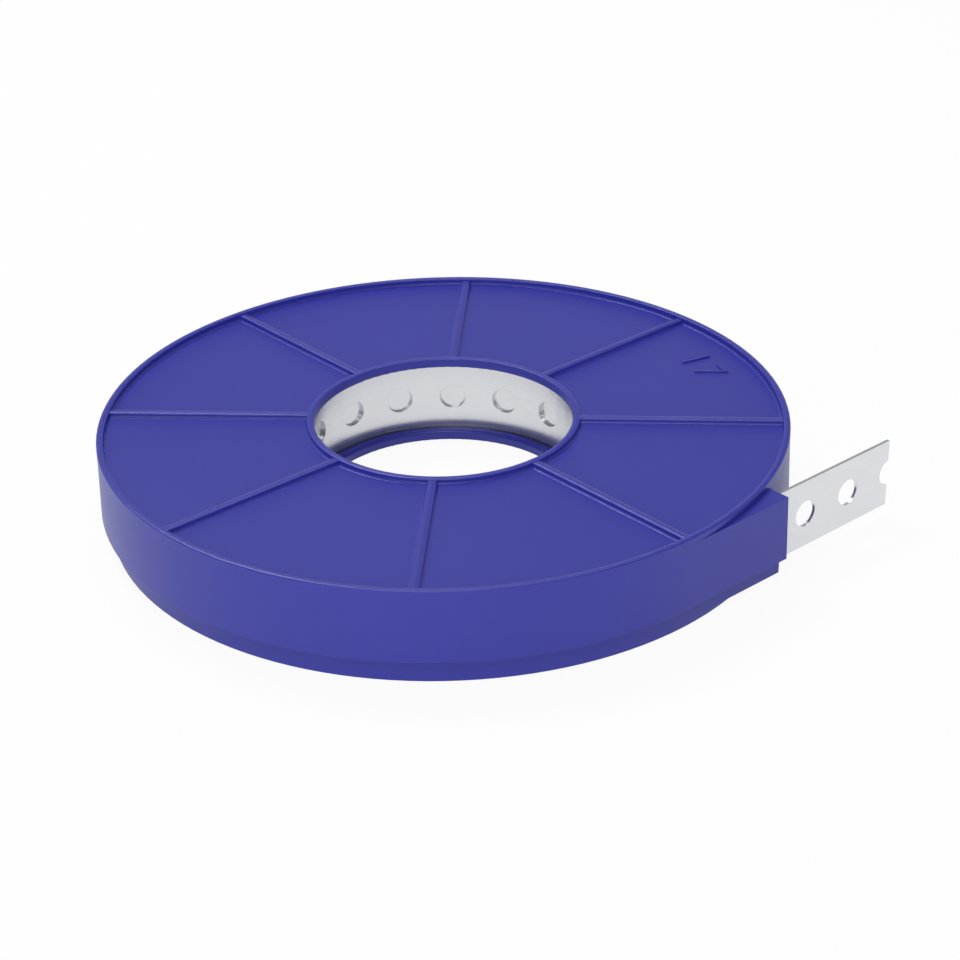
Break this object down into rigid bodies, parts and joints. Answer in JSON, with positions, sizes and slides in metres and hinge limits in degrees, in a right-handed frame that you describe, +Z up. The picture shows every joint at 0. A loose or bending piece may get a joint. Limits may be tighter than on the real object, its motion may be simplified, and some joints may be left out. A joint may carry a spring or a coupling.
{
  "type": "perforated steel strap in a dispenser case",
  "caption": "Coil of galvanised perforated steel strap in a flat round plastic dispenser case with an open centre; the strap's free end leaves through a tangential spout.",
  "frame": {"origin": "on the axis of the coil, at the floor that the case lies on", "axes": "+Z up along the axis of the coil, +X the way the strap's free end leaves the spout, which lies on the -Y side"},
  "size_m": [0.1648, 0.1649, 0.0234],
  "materials": {
    "case_upper": "moulded blue plastic, semi-gloss",
    "case_lower": "moulded blue plastic, semi-gloss",
    "strap": "galvanised, pale grey, satin"
  },
  "bodies": {
    "root": {"upper_shell": "case_upper", "lower_shell": "case_lower", "steel_strap": "strap"}
  },
  "joints": []
}
